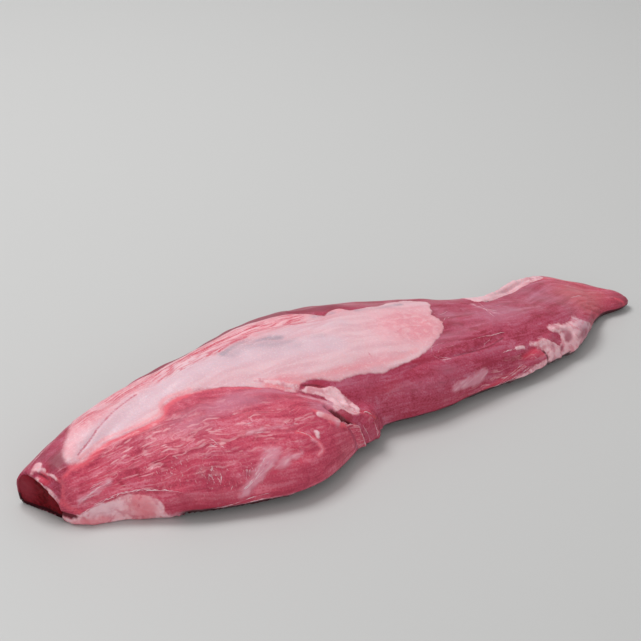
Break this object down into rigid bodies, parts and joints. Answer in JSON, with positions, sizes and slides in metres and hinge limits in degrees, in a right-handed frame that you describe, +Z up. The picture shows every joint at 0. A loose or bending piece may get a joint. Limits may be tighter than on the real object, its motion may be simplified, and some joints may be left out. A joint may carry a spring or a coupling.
{
  "type": "whole beef tenderloin",
  "caption": "Whole raw beef tenderloin: a long tapering muscle with silverskin on top, the side muscle still on its head and a thin pointed tail, lying flat.",
  "frame": {"origin": "middle of the footprint, on the surface that the piece lies on", "axes": "+X along the piece from the cut head to the thin tail, -Y towards the side muscle, +Z up through the silverskin side"},
  "size_m": [0.5683, 0.1847, 0.0613],
  "materials": {
    "meat": "moist raw meat, satin with wet highlights"
  },
  "bodies": {
    "root": {"tenderloin": "meat"}
  },
  "joints": []
}
